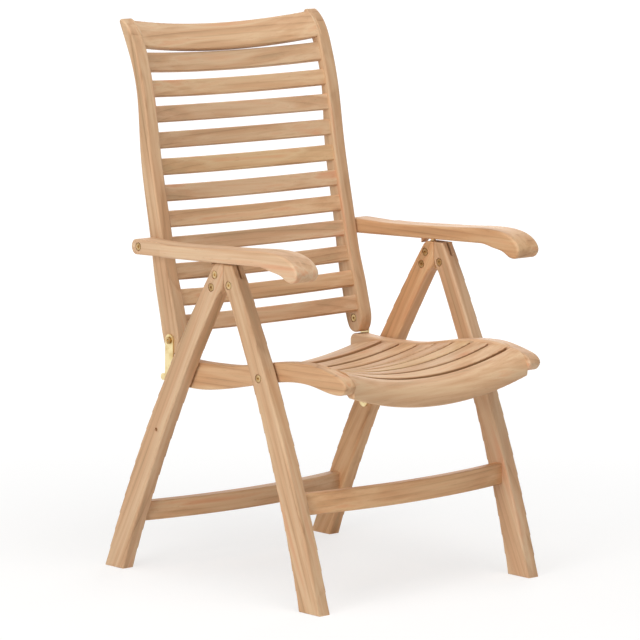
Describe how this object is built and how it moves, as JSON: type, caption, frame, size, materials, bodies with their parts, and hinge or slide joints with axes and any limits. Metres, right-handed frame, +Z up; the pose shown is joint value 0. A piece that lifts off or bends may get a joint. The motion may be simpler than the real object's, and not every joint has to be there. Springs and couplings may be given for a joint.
{
  "type": "reclining chair",
  "caption": "High-backed folding wooden armchair with a dished slatted seat, a reclining slatted back, curled arms on notched racks and brass fittings.",
  "frame": {"origin": "middle of the chair's box on the floor", "axes": "+Z up, the sitter faces -Y, +X runs across the chair to the right seen from the front"},
  "size_m": [0.632, 0.693, 1.0963],
  "materials": {
    "teak": "satin",
    "brass": "satin"
  },
  "bodies": {
    "front_frame": {"front_leg_left": "teak", "front_leg_right": "teak", "front_stretcher": "teak", "leg_pivot_bolts": "brass", "seat_pivot_bolts": "brass", "seat_pivot_washers": "brass"},
    "rear_frame": {"rear_leg_left": "teak", "rear_leg_right": "teak", "rear_stretcher": "teak", "leg_hinge_plate_left": "brass", "leg_hinge_plate_right": "brass", "hinge_plate_bolts": "brass", "strap_pivot_pins": "brass"},
    "seat": {"seat_rail_left": "teak", "seat_rail_right": "teak", "seat_slat_1": "teak", "seat_slat_2": "teak", "seat_slat_3": "teak", "seat_slat_4": "teak", "seat_slat_5": "teak", "seat_slat_6": "teak", "seat_slat_7": "teak", "seat_slat_8": "teak", "seat_slat_9": "teak", "seat_link_pins": "brass"},
    "straps": {"strap_left": "brass", "strap_right": "brass"},
    "back_hinge": {"back_hinge_bolts": "brass"},
    "back": {"back_stile_left": "teak", "back_stile_right": "teak", "back_top_rail": "teak", "back_slat_01": "teak", "back_slat_02": "teak", "back_slat_03": "teak", "back_slat_04": "teak", "back_slat_05": "teak", "back_slat_06": "teak", "back_slat_07": "teak", "back_slat_08": "teak", "back_slat_09": "teak", "back_slat_10": "teak", "back_slat_11": "teak"},
    "arm_bolts": {"arm_pivot_bolts": "brass", "arm_spacer_washers": "brass"},
    "arm_sleeves": {"arm_bushes": "brass"},
    "left_arm": {"arm_left": "teak", "arm_rack_left": "teak", "rack_screws_left": "brass"},
    "right_arm": {"arm_right": "teak", "arm_rack_right": "teak", "rack_screws_right": "brass"}
  },
  "joints": [
    {"name": "leg_fold", "type": "hinge", "parent": "front_frame", "child": "rear_frame", "pos_m": [0, -0.0466, 0.605], "axis": [-1, 0, 0], "range_deg": [0, 36]},
    {"name": "seat_fold", "type": "hinge", "parent": "front_frame", "child": "seat", "pos_m": [0, -0.13414, 0.43464], "axis": [-1, 0, 0], "range_deg": [0, 48.5]},
    {"name": "strap_fold", "type": "hinge", "parent": "rear_frame", "child": "straps", "pos_m": [0, 0.17776, 0.297], "axis": [-1, 0, 0], "range_deg": [0, 82.3]},
    {"name": "back_fold", "type": "hinge", "parent": "straps", "child": "back_hinge", "pos_m": [0, 0.17386, 0.47214], "axis": [-1, 0, 0], "range_deg": [-128.3, 0]},
    {"name": "recline", "type": "hinge", "parent": "back_hinge", "child": "back", "pos_m": [0, 0.17386, 0.47214], "axis": [-1, 0, 0], "range_deg": [0, 35]},
    {"name": "arm_fold", "type": "hinge", "parent": "back", "child": "arm_bolts", "pos_m": [0, 0.21486, 0.65714], "axis": [-1, 0, 0], "range_deg": [0, 110.1]},
    {"name": "arm_follow", "type": "hinge", "parent": "arm_bolts", "child": "arm_sleeves", "pos_m": [0, 0.21486, 0.65714], "axis": [-1, 0, 0], "range_deg": [-25.7, 0]},
    {"name": "arm_lift_left", "type": "hinge", "parent": "arm_sleeves", "child": "left_arm", "pos_m": [0, 0.21486, 0.65714], "axis": [-1, 0, 0], "range_deg": [0, 60]},
    {"name": "arm_lift_right", "type": "hinge", "parent": "arm_sleeves", "child": "right_arm", "pos_m": [0, 0.21486, 0.65714], "axis": [-1, 0, 0], "range_deg": [0, 60]}
  ],
  "couplings": [
    {"joint": "seat_fold", "follows": "leg_fold", "ratio": 1.3454},
    {"joint": "strap_fold", "follows": "leg_fold", "ratio": 2.2841},
    {"joint": "back_fold", "follows": "leg_fold", "ratio": -3.5619},
    {"joint": "arm_fold", "follows": "leg_fold", "ratio": 3.0556},
    {"joint": "arm_follow", "follows": "recline", "ratio": -0.733}
  ]
}
